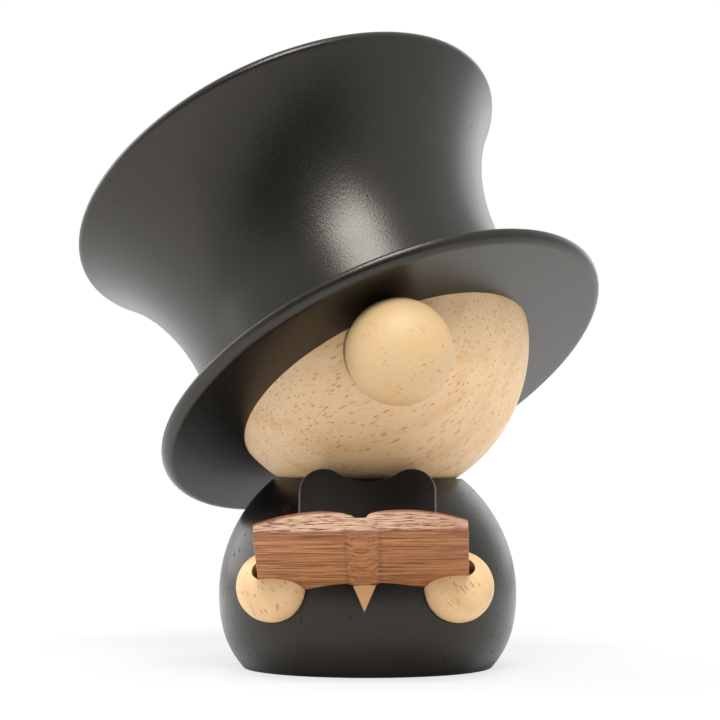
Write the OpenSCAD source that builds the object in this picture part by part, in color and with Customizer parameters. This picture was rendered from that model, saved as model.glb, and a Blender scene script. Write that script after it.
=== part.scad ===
// Turned wooden figure of a gentleman in a top hat who reads a book.
// Sizes are in millimetres. The origin is the centre of the flat base, on the table.
// X runs to the viewer's right, Y away from the viewer and Z up.
// Left and right in the names of the hands are the figure's own.

/* [Body] */
// Radius of the ball that the body is turned from
body_r = 31.9; // [31:0.1:33]
// Height of that ball's centre above the flat base
body_rise = 15.7; // [14:0.1:18]
// Rounding of the lower edge of the body
base_edge_r = 3; // [0.5:0.1:5]

/* [Shirt front] */
// Width of the wedge at its top
shirt_w = 20.6; // [16:0.1:24]
// Height of the wedge from its tip to its top, along the lean
shirt_h = 22.8; // [20:0.1:24]
// How far the tip lies below the middle line of the leaning wedge
shirt_tip = 11.8; // [10.5:0.1:13]
// Lean of the wedge, back from upright
shirt_lean = 18; // [14:0.5:22]
// Depth of the wedge below the surface of the ball
shirt_depth = 9.5; // [8.5:0.1:11]

/* [Bow tie] */
// Width of the bow tie over both ends
tie_w = 28; // [24:0.1:32]
// Height of its two ends
tie_h = 14.6; // [13:0.1:17]
// Height of its waist
tie_waist = 8.6; // [7:0.1:9.5]
// Radius of its four corners
tie_corner_r = 5; // [4:0.1:6]
// Thickness of the plate
tie_t = 3; // [2.5:0.1:5]
// Lean of the plate, back from upright
tie_lean = 24.4; // [22:0.2:27]
// Depth that the plate is let into the ball
tie_set = 1.45; // [0.5:0.05:2]
// Room between the upper corners and the head
tie_gap = 1.8; // [0.4:0.1:3]

/* [Hands] */
// Radius of each ball-shaped hand
hand_r = 7.25; // [6.5:0.05:8]
// Depth that each hand is let into the body
hand_sink = 6; // [4.5:0.1:7]
// Angle of each hand from straight ahead
hand_turn = 34.9; // [32:0.1:38]
// Angle of each hand above the level of the body's middle
hand_rise = 4.8; // [0:0.1:8]
// Depth of the flat on the glued side of a hand
hand_flat = 0.6; // [0.3:0.1:1]

/* [Book] */
// Width of the open book
book_w = 42; // [38:0.1:45]
// Height of the book
book_h = 26.5; // [22:0.1:32]
// Thickness at the crest of each page block
page_t = 5; // [4.6:0.05:5.6]
// Thickness at the fore edges
fore_t = 2.4; // [1.8:0.05:3]
// Thickness at the gutter between the pages
gutter_t = 3.4; // [2.8:0.05:4]
// Width of the gutter's floor
gutter_w = 3.4; // [2:0.1:5]
// Distance of each crest from the middle of the book
page_crest = 7.6; // [6:0.1:9]
// Width of the rounded spine
spine_w = 6.6; // [5:0.1:9]
// Height that the spine stands out of the cover
spine_t = 0.45; // [0.2:0.05:0.8]
// Lean of the book, forward from upright
book_lean = 60; // [57:0.5:63]
// Depth of the cover below the middle of the hands
book_grip = 1.4; // [0.8:0.1:1.8]
// Depth of the lower edge below the middle of the hands
book_drop = 1.2; // [0:0.1:2]
// Width of the slot in each hand
slot_w = 4.2; // [3.6:0.1:4.6]
// Room in each slot beyond the edge of the book
slot_end = 1.2; // [0.6:0.1:1.8]

/* [Head] */
// Radius of the head
head_r = 34.8; // [33:0.1:37]
// Depth that the head sinks into the dish on the body
neck_sink = 12.9; // [11:0.1:14]
// Height taken off the sharp rim of that dish
rim_flat = 0.35; // [0.1:0.05:0.8]
// Rounding of the outer edge of that rim
rim_edge_r = 1.2; // [0.3:0.1:1.5]
// Radius of the dowel that the head turns on
neck_dowel_r = 4; // [3:0.1:5]
// Depth of that dowel in the body
neck_in_body = 12; // [8:0.5:16]
// Depth of that dowel in the head
neck_in_head = 12; // [8:0.5:14]

/* [Nose] */
// Radius of the ball-shaped nose
nose_r = 10.7; // [9.5:0.1:11.5]
// Depth that the nose is let into the head
nose_sink = 3.6; // [3:0.1:6]
// Angle of the nose round the axis of the hat
nose_bearing = 135; // [125:0.5:145]
// Depth of the flat on the glued side of the nose
nose_flat = 0.8; // [0.4:0.1:1.2]
// Room between the nose and the brim
nose_gap = 0.12; // [0.1:0.01:0.5]

/* [Hat] */
// Lean of the hat from upright
hat_lean = 33.4; // [30:0.1:36]
// Direction that the hat leans to, from the X axis
hat_bearing = 137.2; // [125:0.1:150]
// Height of the hat over all
hat_h = 55.6; // [48:0.1:60]
// Radius of the brim
brim_r = 50.8; // [47:0.1:53]
// Thickness of the brim
brim_t = 2.9; // [2.8:0.1:4]
// Rounding of the upper edge of the brim
brim_edge_r = 0.8; // [0.4:0.1:0.9]
// Rounding of the lower edge of the brim
brim_under_r = 2; // [1:0.1:2.1]
// Distance of the brim's lower face below the middle of the head
brim_drop = 10.9; // [9:0.1:12]
// Depth of the recess that holds the head
hat_seat = 1.5; // [1:0.1:2]
// Radius of the crown at its waist
waist_r = 36; // [33:0.1:38]
// Height of the waist above the brim's lower face
waist_rise = 18.4; // [14:0.1:22]
// Radius of the hollow curve of the crown's side
flank_r = 53.5; // [46:0.5:66]
// Rounding of the crown's upper edge
crown_edge_r = 0.5; // [0.3:0.1:1.5]
// Radius of the dowel between head and hat
hat_dowel_r = 4; // [3:0.1:5]
// Depth of that dowel in the head
hat_in_head = 8; // [5:0.5:9]
// Depth of that dowel in the hat
hat_in_hat = 10; // [6:0.5:20]

/* [Clearances] */
// Radial room of the turning dowel in the head
run_gap = 0.05; // [0.02:0.01:0.1]
// Room between the head and its dish
dish_gap = 0.25; // [0.2:0.05:0.4]
// Room for glue round dowels and inlays
glue_gap = 0.04; // [0.02:0.01:0.08]
// Room round a ball at the mouth of its drilled seat
seat_gap = 0.2; // [0.1:0.05:0.5]

/* [Hidden] */
$fn = 120;

// The head's middle stands so high that the two balls overlap by the sink.
head_up = body_r + head_r - neck_sink;
head_z = body_rise + head_up;
// The rim of the dish is turned flat a little below the circle where the balls meet.
rim_up = (head_up * head_up + body_r * body_r - pow(head_r + dish_gap, 2)) / (2 * head_up);
rim_z = body_rise + rim_up - rim_flat;
// The lower rounding of the brim ends below its upper one.
under_r = min(brim_under_r, brim_t - brim_edge_r);
// The head is cut flat where it meets the floor of the hat's recess.
head_cut = brim_drop - hat_seat;
head_cut_r = sqrt(head_r * head_r - head_cut * head_cut);
// The nose lies so low that it just clears the brim.
nose_out = head_r + nose_r - nose_sink;
nose_dip = asin((brim_drop + nose_r + nose_gap) / nose_out);
nose_floor = nose_out - nose_r + nose_flat;
// The hands are balls let into the body ball.
hand_out = body_r + hand_r - hand_sink;
hand_floor = hand_out - hand_r + hand_flat;
hand_y = -hand_out * cos(hand_rise) * cos(hand_turn);
hand_z = body_rise + hand_out * sin(hand_rise);
// The cover and the lower edge of the book are measured from the hands.
book_face = hand_y * cos(book_lean) + hand_z * sin(book_lean) - book_grip;
book_foot = hand_z * cos(book_lean) - hand_y * sin(book_lean) - book_drop;
// Radius of the pages' outer slopes.
page_r = arc_r(book_w / 2 - page_crest, page_t - fore_t);
// The bow tie lies so high that its upper corners just clear the head.
tie_x = tie_w / 2 - tie_corner_r;
tie_y = tie_h / 2 - tie_corner_r;
tie_back = body_r - tie_set;
head_disc_r = sqrt(head_r * head_r - pow(tie_back - head_up * sin(tie_lean), 2));
tie_reach = head_disc_r + tie_gap + tie_corner_r;
tie_up = head_up * cos(tie_lean) - sqrt(tie_reach * tie_reach - tie_x * tie_x) - tie_y;
// Cutters run this far past the surface that they cut.
over = 1;

// Radius of the circle where a ball is let into a larger ball, or the ball's own
// radius where its middle lies inside the larger ball.
function ring_r(ball, large, out) =
    let (x = (out * out + ball * ball - large * large) / (2 * out))
    x > 0 ? sqrt(ball * ball - x * x) : ball;

// Radius of the arc that rises by h over a half width w.
function arc_r(w, h) = (w * w + h * h) / (2 * h);

module at_head() {
    translate([0, 0, head_z]) rotate([0, hat_lean, hat_bearing]) children();
}

module at_nose() {
    rotate([0, 90 + nose_dip, nose_bearing]) children();
}

module at_hand(side) {
    translate([0, 0, body_rise])
        rotate([0, 0, side * hand_turn]) rotate([90 - hand_rise, 0, 0]) children();
}

module at_book() {
    rotate([book_lean, 0, 0]) translate([0, book_face, book_foot]) children();
}

module at_tie() {
    translate([0, 0, body_rise])
        rotate([90 - tie_lean, 0, 0]) translate([0, tie_up, tie_back]) children();
}

module at_shirt() {
    translate([0, 0, body_rise]) rotate([90 - shirt_lean, 0, 0]) children();
}

// Corner to cut off the body's section, so that a rounded edge is left between the ball
// and the flat at height level. The flat faces down for side -1 and up for side 1.
module edge_cutter(level, edge_r, side) {
    edge_z = level - side * edge_r;
    edge = [sqrt(pow(body_r - edge_r, 2) - pow(edge_z - body_rise, 2)), edge_z];
    middle = [0, body_rise];
    meet = middle + (edge - middle) * body_r / (body_r - edge_r);
    far = [body_r + over, level + side * over];
    difference() {
        polygon([[edge[0], far[1]], edge, meet, [far[0], meet[1]], far]);
        translate(edge) circle(r = edge_r);
    }
}

// Half section of the body: a ball cut flat at base and rim, with rounded edges.
module body_profile() {
    difference() {
        intersection() {
            translate([0, body_rise]) circle(r = body_r);
            square([body_r + over, rim_z]);
        }
        edge_cutter(0, base_edge_r, -1);
        edge_cutter(rim_z, rim_edge_r, 1);
    }
}

// Half section of the crown, straight up to its waist, then hollow, with a rounded upper edge.
module crown_profile() {
    hollow = [waist_r + flank_r, waist_rise];
    edge_z = hat_h - crown_edge_r;
    edge_x = hollow[0] - sqrt(pow(flank_r + crown_edge_r, 2) - pow(edge_z - waist_rise, 2));
    edge = [edge_x, edge_z];
    meet = edge + (hollow - edge) * crown_edge_r / (flank_r + crown_edge_r);
    far = hollow[0] + over;
    difference() {
        polygon([[0, 0], [waist_r, 0], [waist_r, waist_rise], [hollow[0], waist_rise],
                 [hollow[0], hat_h], [0, hat_h]]);
        translate(hollow) circle(r = flank_r);
        difference() {
            polygon([[edge_x, hat_h + over], edge, meet, [far, meet[1]], [far, hat_h + over]]);
            translate(edge) circle(r = crown_edge_r);
        }
    }
}

// Half section of the flat brim, with its upper edge eased and its lower edge well rounded.
module brim_profile() {
    upper = [brim_r - brim_edge_r, brim_t - brim_edge_r];
    lower = [brim_r - under_r, under_r];
    difference() {
        square([brim_r, brim_t]);
        difference() {
            translate(upper) square(brim_edge_r + over);
            translate(upper) circle(r = brim_edge_r);
        }
        difference() {
            translate([lower[0], -over]) square([under_r + over, under_r + over]);
            translate(lower) circle(r = under_r);
        }
    }
}

// Section of the open book, cover below.
module book_section() {
    half = book_w / 2;
    top = page_t + over;
    inner_r = arc_r(page_crest - gutter_w / 2, page_t - gutter_t);
    spine_r = arc_r(spine_w / 2, spine_t);
    difference() {
        translate([-half, 0]) square([book_w, top]);
        for (side = [0, 1]) mirror([side, 0]) {
            difference() {
                translate([page_crest - over, fore_t / 2]) square([half, top]);
                translate([page_crest, page_t - page_r]) circle(r = page_r);
            }
            difference() {
                translate([-over, gutter_t]) square([page_crest + over, top]);
                translate([page_crest, page_t - inner_r]) circle(r = inner_r);
            }
        }
    }
    intersection() {
        translate([0, spine_r - spine_t]) circle(r = spine_r);
        translate([-half, -spine_t - over]) square([book_w, spine_t + over + gutter_t / 2]);
    }
}

// Flat-sided pocket for the book, whose slopes touch the pages half way down.
module book_cutter() {
    half = book_w / 2 + glue_gap;
    slope = asin((book_w / 2 - page_crest) / page_r) / 2;
    shoulder = page_crest + page_r * tan(slope / 2);
    crest = page_t + glue_gap;
    end = crest - (half - shoulder) * tan(slope);
    spine = spine_w / 2 + glue_gap;
    at_book() linear_extrude(book_h + over)
        polygon([[-half, -glue_gap], [-spine, -glue_gap], [-spine, -spine_t - glue_gap],
                 [spine, -spine_t - glue_gap], [spine, -glue_gap], [half, -glue_gap],
                 [half, end], [shoulder, crest], [-shoulder, crest], [-half, end]]);
}

// Round-ended slot in a hand, open towards the middle of the book.
module slot_cutter(side) {
    end_r = slot_w / 2;
    end_x = book_w / 2 + slot_end - end_r;
    at_book() mirror([side < 0 ? 1 : 0, 0]) translate([0, -glue_gap, 0])
        linear_extrude(book_h) {
            square([end_x, slot_w]);
            translate([end_x, end_r]) circle(r = end_r);
        }
}

// Outline of the bow tie, all of arcs that run into each other.
module tie_outline(room = 0) {
    dip = tie_waist / 2 - tie_y;
    waist_arc = (tie_x * tie_x + dip * dip - tie_corner_r * tie_corner_r) / (2 * (tie_corner_r - dip));
    hollow_y = tie_waist / 2 + waist_arc;
    corner = tie_corner_r + room;
    middle = [tie_x, tie_y];
    touch = middle + ([0, hollow_y] - middle) * corner / (waist_arc + tie_corner_r);
    far_x = tie_x + corner + over;
    far_y = tie_y + corner + over;
    difference() {
        square([2 * (tie_x + corner), 2 * (tie_y + corner)], center = true);
        for (y = [-hollow_y, hollow_y]) translate([0, y]) circle(r = waist_arc - room);
        for (x = [0, 1], y = [0, 1]) mirror([x, 0]) mirror([0, y]) difference() {
            polygon([touch, middle, [far_x, tie_y], [far_x, far_y], [0, far_y], [0, touch[1]]]);
            translate(middle) circle(r = corner);
        }
    }
}

module tie_cutter() {
    at_tie() linear_extrude(tie_t + over) tie_outline(glue_gap);
}

// Wedge of the shirt front before its face is turned with the body.
module shirt_wedge(room = 0) {
    half = shirt_w / 2;
    slant = sqrt(half * half + shirt_h * shirt_h);
    top = shirt_h - shirt_tip + room;
    tip = -shirt_tip - room * slant / half;
    top_x = (top - tip) * half / shirt_h;
    at_shirt() translate([0, 0, body_r - shirt_depth - room])
        linear_extrude(shirt_depth + over) polygon([[0, tip], [top_x, top], [-top_x, top]]);
}

module body_ball() {
    rotate_extrude() body_profile();
}

module dish_cutter() {
    translate([0, 0, head_z]) sphere(r = head_r + dish_gap);
}

// Ball of a hand with its flat, as it stands in its seat.
module hand_ball() {
    intersection() {
        translate([0, 0, hand_out]) sphere(r = hand_r);
        translate([0, 0, hand_floor]) cylinder(r = hand_r + over, h = 2 * hand_r);
    }
}

module hand_seat() {
    translate([0, 0, hand_floor])
        cylinder(r = ring_r(hand_r, body_r, hand_out) + seat_gap, h = 2 * hand_r);
}

module hand(side) {
    difference() {
        at_hand(side) hand_ball();
        slot_cutter(side);
        book_cutter();
    }
}

module body() {
    color("dimgray") difference() {
        body_ball();
        dish_cutter();
        translate([0, 0, head_z - head_r - neck_in_body])
            cylinder(r = neck_dowel_r + glue_gap, h = neck_in_body + head_r);
        shirt_wedge(glue_gap);
        for (side = [-1, 1]) at_hand(side) hand_seat();
        book_cutter();
        tie_cutter();
    }
}

module shirt_front() {
    color("tan") difference() {
        intersection() {
            shirt_wedge();
            body_ball();
        }
        for (side = [-1, 1]) at_hand(side) hand_seat();
        book_cutter();
        tie_cutter();
    }
}

module bow_tie() {
    color("black") at_tie() linear_extrude(tie_t) tie_outline();
}

module left_hand() {
    color("wheat") hand(1);
}

module right_hand() {
    color("wheat") hand(-1);
}

module book() {
    color("sienna") at_book() linear_extrude(book_h) book_section();
}

module neck_dowel() {
    color("peru") translate([0, 0, head_z - head_r - neck_in_body])
        cylinder(r = neck_dowel_r, h = neck_in_body + neck_in_head);
}

module head() {
    color("burlywood") difference() {
        at_head() difference() {
            sphere(r = head_r);
            translate([0, 0, -head_cut]) cylinder(r = head_r + over, h = 2 * head_r);
            translate([0, 0, -head_cut - hat_in_head])
                cylinder(r = hat_dowel_r + glue_gap, h = hat_in_head + over);
            at_nose() translate([0, 0, nose_floor])
                cylinder(r = ring_r(nose_r, head_r, nose_out) + seat_gap, h = 2 * nose_r);
        }
        translate([0, 0, head_z - head_r - over])
            cylinder(r = neck_dowel_r + run_gap, h = neck_in_head + over);
    }
}

module nose() {
    color("wheat") at_head() at_nose() intersection() {
        translate([0, 0, nose_out]) sphere(r = nose_r);
        translate([0, 0, nose_floor]) cylinder(r = nose_r + over, h = 2 * nose_r);
    }
}

module hat() {
    color("dimgray") at_head() translate([0, 0, -brim_drop]) difference() {
        rotate_extrude() {
            crown_profile();
            brim_profile();
        }
        translate([0, 0, -over]) cylinder(r = head_cut_r + glue_gap, h = hat_seat + over);
        cylinder(r = hat_dowel_r + glue_gap, h = hat_seat + hat_in_hat);
    }
}

module hat_dowel() {
    color("peru") at_head() translate([0, 0, -head_cut - hat_in_head])
        cylinder(r = hat_dowel_r, h = hat_in_head + hat_in_hat);
}

body();
shirt_front();
bow_tie();
left_hand();
right_hand();
book();
neck_dowel();
head();
nose();
hat();
hat_dowel();
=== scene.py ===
"""Looks of a turned wooden figure with a top hat and a book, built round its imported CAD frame."""

import math

import bmesh
import bpy
from bpy.props import FloatProperty, FloatVectorProperty, PointerProperty
from mathutils import Matrix, Vector


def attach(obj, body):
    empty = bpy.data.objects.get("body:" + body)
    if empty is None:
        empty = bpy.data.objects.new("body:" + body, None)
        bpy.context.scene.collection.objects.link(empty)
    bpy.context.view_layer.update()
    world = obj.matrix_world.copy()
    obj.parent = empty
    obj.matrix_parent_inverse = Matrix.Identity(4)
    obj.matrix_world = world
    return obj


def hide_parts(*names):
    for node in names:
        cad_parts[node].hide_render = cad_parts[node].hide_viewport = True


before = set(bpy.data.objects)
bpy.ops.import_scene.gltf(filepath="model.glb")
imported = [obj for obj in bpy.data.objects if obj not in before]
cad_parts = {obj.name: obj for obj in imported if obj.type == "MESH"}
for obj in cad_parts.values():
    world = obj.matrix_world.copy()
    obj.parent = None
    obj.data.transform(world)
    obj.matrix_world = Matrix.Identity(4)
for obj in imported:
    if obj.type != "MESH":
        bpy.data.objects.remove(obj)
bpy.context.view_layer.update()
MM = 0.001
UPRIGHT = Matrix.Identity(4)

# Steps round each turned piece and each drilled hole
ROUND = {"body": 320, "head": 320, "hat": 360, "nose": 192, "hand": 160, "hole": 128}
# Points nearer than this are one point, in metres
SAME = 1e-7
# Slivers narrower than this are closed after carving
WELD = 0.006 * MM
# Angles in degrees above which an edge is shaded sharp, or eased
SHARP_EDGE = 38
EASED_EDGE = 35
# How suddenly the body draws in towards its base
TAPER_CURVE = 2.2
# How square the pages fall into the gutter, on the side of +X and of -X
PAGE_BENDS = (2.3, 1.7)
# Name, setting, size and place of each lamp, in metres, and the point that all look at
LAMPS = (
    ("key_lamp", "key", (0.5, 0.42), (0.02, -0.60, 0.96)),
    ("left_lamp", "left", (1.7, 1.4), (-1.40, 0.68, 0.78)),
    ("right_lamp", "right", (0.6, 0.6), (0.54, 0.86, 0.36)),
)
LAMP_AIM = Vector((0, 0, 0.06))
# Floor: its radius, the distances over which it turns white to the camera and in mirrored
# light, and the stretch of Y over which it turns to its front colour, in metres
FLOOR_R = 3.0
SEEN_FADE = (0.10, 0.32)
MIRROR_FADE = (0.6, 1.4)
FRONT_FADE = (-0.11, -0.35)
# Slope of the view towards the camera's side over which the room turns dim
ROOM_FADE = (-0.45, -0.95)

bl_info = {
    "name": "Wooden figurine",
    "version": (1, 0, 0),
    "blender": (4, 5, 0),
    "location": "View3D > Sidebar > Figurine",
    "description": "Dresses the packed figure with turned pieces and wood finishes",
    "category": "Object",
}


# Settings that a user would change

def length(name, millimetres, text):
    return FloatProperty(
        name=name, description=text, default=millimetres * MM, precision=5, unit="LENGTH"
    )


def angle(name, degrees, text):
    return FloatProperty(
        name=name, description=text, default=math.radians(degrees), subtype="ANGLE"
    )


def power(name, watts, text):
    return FloatProperty(name=name, description=text, default=watts, unit="POWER")


def colour(name, rgb, text):
    return FloatVectorProperty(
        name=name, description=text, default=rgb, size=3, min=0, max=1, subtype="COLOR"
    )


class FigurineSizes(bpy.types.PropertyGroup):
    """Sizes of the pieces, as in the CAD model but for wear and hand fitting."""

    body_r: length("Body radius", 31.9, "Radius of the ball that the body is turned from")
    body_rise: length("Body rise", 15.7, "Height of the body ball's centre")
    base_edge_r: length("Base edge", 0.5, "Rounding of the lower edge of the body")
    base_taper: length("Base taper", 1.25, "How far the body draws in at its base")
    taper_h: length("Taper height", 9.0, "Height over which the body draws in")
    rim_z: length("Rim height", 40.288, "Height of the flat rim round the dish")
    rim_edge_r: length("Rim edge", 1.2, "Rounding of the outer edge of that rim")
    shirt_w: length("Shirt width", 20.6, "Width of the shirt wedge at its top")
    shirt_h: length("Shirt height", 22.8, "Height of the shirt wedge")
    shirt_tip: length("Shirt tip", 11.8, "Distance of the tip below the wedge's middle line")
    shirt_depth: length("Shirt depth", 9.5, "Depth of the wedge below the surface")
    shirt_lean: angle("Shirt lean", 18, "Lean of the wedge back from upright")
    tie_w: length("Tie width", 28.0, "Width of the bow tie over both ends")
    tie_h: length("Tie height", 14.6, "Height of the bow tie's ends")
    tie_waist: length("Tie waist", 8.6, "Height of the bow tie's waist")
    tie_corner_r: length("Tie corners", 5.0, "Radius of the bow tie's corners")
    tie_t: length("Tie thickness", 3.0, "Thickness of the bow tie")
    tie_edge_r: length("Tie edge", 0.8, "Rounding of the bow tie's edges")
    tie_lean: angle("Tie lean", 24.4, "Lean of the bow tie back from upright")
    tie_back: length("Tie back", 30.45, "Distance of the tie's back from the ball's centre")
    tie_side: length("Tie offset", 0.5, "How far the tie is glued to the figure's left")
    tie_up: length("Tie rise", 7.06, "Rise of the tie's middle along its lean")
    hand_r: length("Hand radius", 7.25, "Radius of a ball-shaped hand")
    hand_out: length("Hand reach", 33.15, "Distance of a hand's centre from the ball's centre")
    hand_flat: length("Hand flat", 0.6, "Depth of the flat on the glued side of a hand")
    hand_turn: angle("Hand turn", 34.9, "Angle of a hand from straight ahead")
    hand_rise: angle("Hand rise", 4.8, "Angle of a hand above the body's middle")
    book_w: length("Book width", 42.4, "Width of the open book at its lower edge")
    book_taper: length("Book taper", 0.4, "How far each side draws in towards the upper edge")
    book_h: length("Book height", 26.5, "Height of the book")
    page_t: length("Page crest", 5.0, "Thickness at the crest of a page block")
    fore_t: length("Fore edge", 2.4, "Thickness at the fore edges")
    gutter_t: length("Gutter", 3.4, "Thickness at the gutter between the pages")
    gutter_w: length("Gutter width", 2.3, "Width of the gutter's floor")
    page_crest: length("Crest place", 7.6, "Distance of a crest from the book's middle")
    spine_w: length("Spine width", 6.6, "Width of the rounded spine")
    spine_t: length("Spine height", 0.45, "Height of the spine out of the cover")
    book_edge_r: length("Book edge", 0.45, "Wear of the book's edges")
    book_lean: angle("Book lean", 60, "Lean of the book forward from upright")
    book_grip: length("Book grip", 1.4, "Depth of the cover below the hands' middle")
    book_drop: length("Book drop", 1.2, "Depth of the lower edge below the hands' middle")
    book_side: length("Book offset", -0.15, "How far the book is glued to the figure's left")
    book_roll: angle("Book roll", -1.2, "Roll of the book in the hands")
    slot_w: length("Slot width", 4.2, "Width of the slot in a hand")
    slot_end: length("Slot end", 1.2, "Room in a slot beyond the book")
    head_r: length("Head radius", 34.8, "Radius of the head")
    head_z: length("Head height", 69.5, "Height of the head's centre")
    head_cut: length("Head cut", 9.4, "Distance of the head's flat below its centre")
    bore_r: length("Bore radius", 4.05, "Radius of the bore for the neck dowel")
    neck_in_head: length("Bore depth", 12.0, "Depth of that bore in the head")
    neck_in_body: length("Dowel in body", 12.0, "Depth of the neck dowel in the body")
    dowel_r: length("Dowel radius", 4.0, "Radius of both dowels")
    hat_in_head: length("Dowel in head", 8.0, "Depth of the hat dowel in the head")
    hat_in_hat: length("Dowel in hat", 10.0, "Depth of the hat dowel in the hat")
    nose_r: length("Nose radius", 10.7, "Radius of the ball-shaped nose")
    nose_out: length("Nose reach", 41.9, "Distance of the nose's centre from the head's")
    nose_flat: length("Nose flat", 0.8, "Depth of the flat on the glued side of the nose")
    nose_slack: length("Nose slack", 2.55, "Room round the nose where its seat is faced off")
    nose_dip: angle("Nose dip", 31.223, "Angle of the nose below the hat's level")
    nose_bearing: angle("Nose bearing", 135, "Angle of the nose round the hat's axis")
    hat_lean: angle("Hat lean", 33.4, "Lean of the hat from upright")
    hat_bearing: angle("Hat bearing", 137.2, "Direction that the hat leans to")
    hat_h: length("Hat height", 56.4, "Height of the hat over all")
    brim_r: length("Brim radius", 50.8, "Radius of the brim")
    brim_t: length("Brim thickness", 2.9, "Thickness of the brim")
    brim_edge_r: length("Brim edge", 0.8, "Rounding of the brim's upper edge")
    brim_under_r: length("Brim under edge", 2.0, "Rounding of the brim's lower edge")
    brim_drop: length("Brim drop", 10.9, "Depth of the brim's lower face below the head's centre")
    brim_droop: length("Brim droop", 0.15, "Drop of the brim's lower face where it meets the head")
    recess_gap: length("Recess room", 0.08, "Room between the head and the recess in the hat")
    hat_seat: length("Hat recess", 1.5, "Depth of the recess that holds the head")
    crown_foot_r: length("Crown foot", 0.25, "Hollow where the crown meets the brim")
    waist_r: length("Waist radius", 36.0, "Radius of the crown at its waist")
    waist_rise: length("Waist rise", 18.4, "Height of the waist above the brim's lower face")
    flank_r: length("Flank radius", 53.5, "Radius of the crown's hollow side")
    crown_edge_r: length("Crown edge", 1.4, "Rounding of the crown's upper edge")
    glue_gap: length("Glue room", 0.04, "Room for glue round inlays")
    seat_gap: length("Seat room", 0.2, "Room round a ball in its drilled seat")
    dish_gap: length("Dish room", 0.25, "Room between the head and its dish")


class FigurineColours(bpy.types.PropertyGroup):
    """Colours of the wood finishes."""

    stain: colour("Dark stain", (0.0038, 0.0034, 0.0028), "Charcoal stain of the body and the hat")
    stain_worn: colour("Worn stain", (0.0085, 0.0077, 0.0063), "Stain where the wood shows through")
    pit: colour("Pits", (0.002, 0.0017, 0.0013), "Open pores in the stained wood")
    sheen: colour("Stain sheen", (1.0, 0.93, 0.83), "Tint of the light that the stain mirrors")
    head: colour("Head wood", (0.71, 0.505, 0.29), "Light wood of the head")
    nose: colour("Nose wood", (0.55, 0.385, 0.195), "Light wood of the nose")
    hand: colour("Hand wood", (0.70, 0.47, 0.24), "Light wood of the hands")
    shirt: colour("Shirt wood", (0.57, 0.305, 0.118), "Light wood of the shirt front")
    deep: colour("Deep bands", (0.60, 0.355, 0.155), "Darker bands in the light woods")
    fleck: colour("Flecks", (0.53, 0.22, 0.072), "Short flecks in the light woods")
    streak: colour("Streaks", (0.24, 0.115, 0.045), "Thin dark streaks in the light woods")
    cover: colour("Book cover", (0.37, 0.143, 0.048), "Red-brown wood of the book")
    cover_light: colour("Light cover", (0.46, 0.205, 0.073), "Lighter bands in the book's wood")
    # The cover streak colour also paints the shade in the creases beside the spine
    cover_streak_and_shade: colour("Cover streaks", (0.085, 0.029, 0.016), "Dark streaks in the book's wood")
    cut: colour("Cut edge", (0.53, 0.355, 0.235), "Sawn upper edge of the book")
    # The cut grain colour is also painted shade over the +X side of the sawn edge
    cut_grain_and_shade: colour("Cut grain", (0.32, 0.15, 0.085), "Grain of the sawn edge")
    cut_dark: colour("Cut pores", (0.12, 0.04, 0.022), "Open pores of the sawn edge")
    worn: colour("Worn edge", (0.17, 0.042, 0.016), "Rubbed line round the sawn edge")
    # The fore edge colour is partly the paler sawn ends and partly a painted highlight where they
    # catch the side light
    fore: colour("Fore edge", (0.52, 0.42, 0.34), "Rubbed corners of the fore edges")
    tie: colour("Tie wood", (0.0065, 0.005, 0.0036), "Near-black wood of the bow tie")
    tie_grain: colour("Tie grain", (0.015, 0.011, 0.0075), "Lighter grain of the bow tie")
    # The tie edge colour is a painted highlight along the tie's rounded edges
    tie_edge_highlight: colour("Tie edge", (0.13, 0.118, 0.1), "Rubbed edge of the bow tie")
    dowel: colour("Dowel wood", (0.55, 0.36, 0.19), "Plain wood of the dowels")
    dowel_grain: colour("Dowel grain", (0.40, 0.24, 0.11), "Darker grain of the dowels")


class FigurineStage(bpy.types.PropertyGroup):
    """Camera and light of the picture."""

    lens: FloatProperty(
        name="Lens", description="Focal length on a 36 mm sensor", default=107.5, unit="CAMERA"
    )
    camera_place: FloatVectorProperty(
        name="Camera place", description="Where the camera stands", size=3, unit="LENGTH",
        subtype="TRANSLATION", default=(0.00922, -0.46431, 0.0410),
    )
    camera_pitch: angle("Camera pitch", 3.07, "How far the camera looks up")
    camera_turn: angle("Camera turn", 1.34, "How far the camera looks to the left")
    key: power("Key light", 10.6, "Power of the lamp above the camera")
    left: power("Left light", 15.0, "Power of the large lamp on the left")
    right: power("Right light", 1.0, "Power of the lamp on the right")
    room: FloatProperty(
        name="Room light", description="Strength of the dim room behind the camera", default=0.1
    )
    shadow: FloatProperty(
        name="Floor shadow", description="Share of the shadow that shows on the floor", default=0.3,
        subtype="FACTOR",
    )
    floor: colour("Floor", (0.93, 0.93, 0.93), "Colour of the floor")
    floor_seen: colour("Seen floor", (0.64, 0.64, 0.64), "Floor where its shadow is seen")
    floor_front: colour("Front floor", (0.58, 0.58, 0.58), "Floor on the camera's side")


# Places of the pieces, as in the CAD model but for hand fitting

def turn(axis, radians):
    return Matrix.Rotation(radians, 4, axis)


def shift(x, y, z):
    return Matrix.Translation((x, y, z))


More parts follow.
